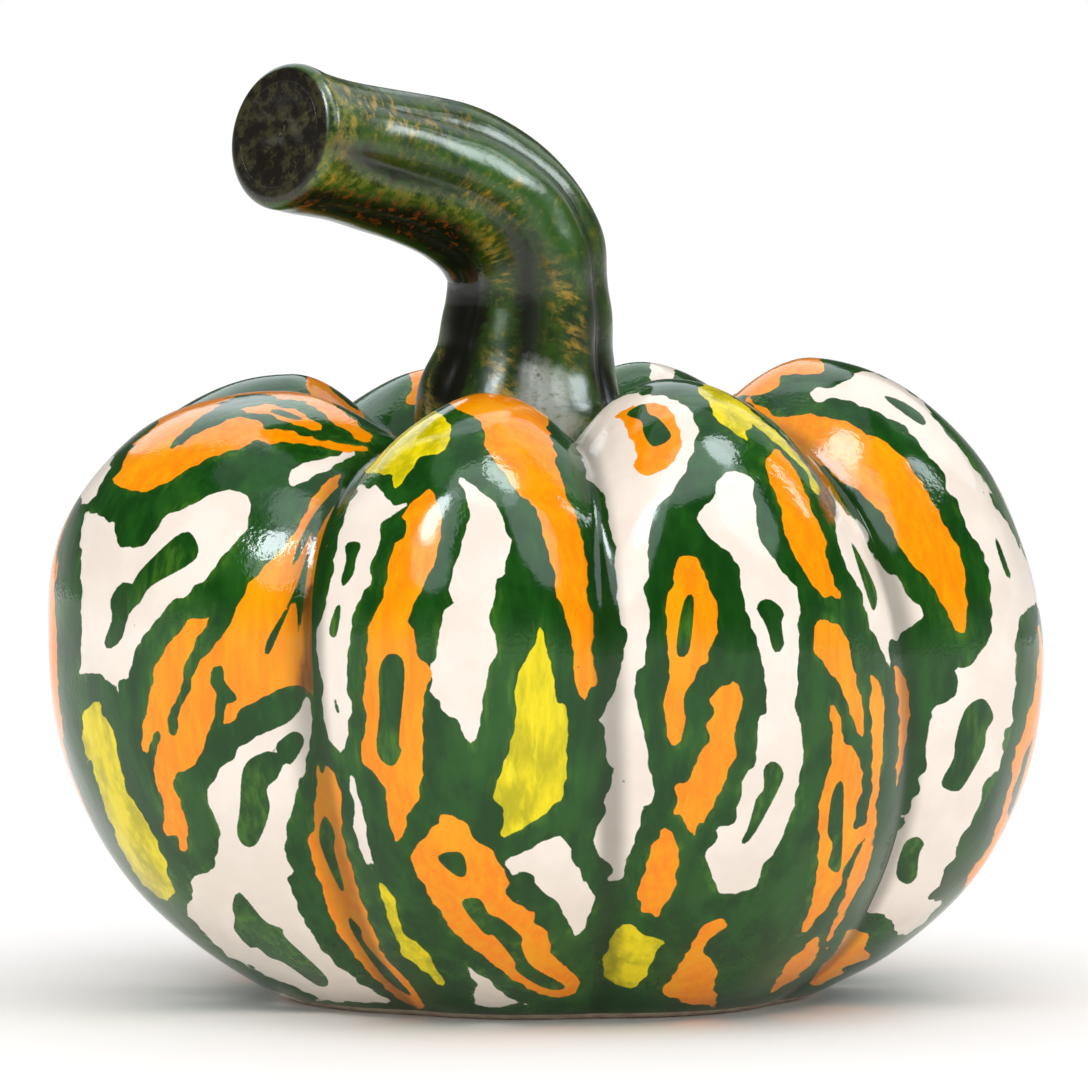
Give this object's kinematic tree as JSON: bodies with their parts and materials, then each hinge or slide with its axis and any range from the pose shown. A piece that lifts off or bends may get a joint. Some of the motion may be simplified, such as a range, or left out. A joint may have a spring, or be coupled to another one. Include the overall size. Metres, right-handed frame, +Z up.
{
  "type": "ceramic pumpkin figure",
  "caption": "Hollow glazed ceramic pumpkin with rounded lobes, a sunken crown and a hooked, fluted stem, closed below by a luted base disc.",
  "frame": {"origin": "middle of the foot plane, on the body's axis", "axes": "+Z up, -Y towards the front, where two lobes meet near the middle, +X to the viewer's right; the stem hooks towards -X and -Y"},
  "size_m": [0.196, 0.1948, 0.1853],
  "materials": {
    "painted_glaze": "gloss, hand painted in green, orange, cream and yellow under a clear glaze",
    "bare_clay": "matt, unglazed",
    "stem_glaze": "gloss, mottled green and brown",
    "stem_end_glaze": "satin, dark brown",
    "collar_glaze": "gloss, pooled grey-white"
  },
  "bodies": {
    "root": {"body_shell": "painted_glaze", "base_disc": "bare_clay", "stem": "stem_glaze", "stem_end_cap": "stem_end_glaze", "stem_slip_collar": "collar_glaze"}
  },
  "joints": []
}
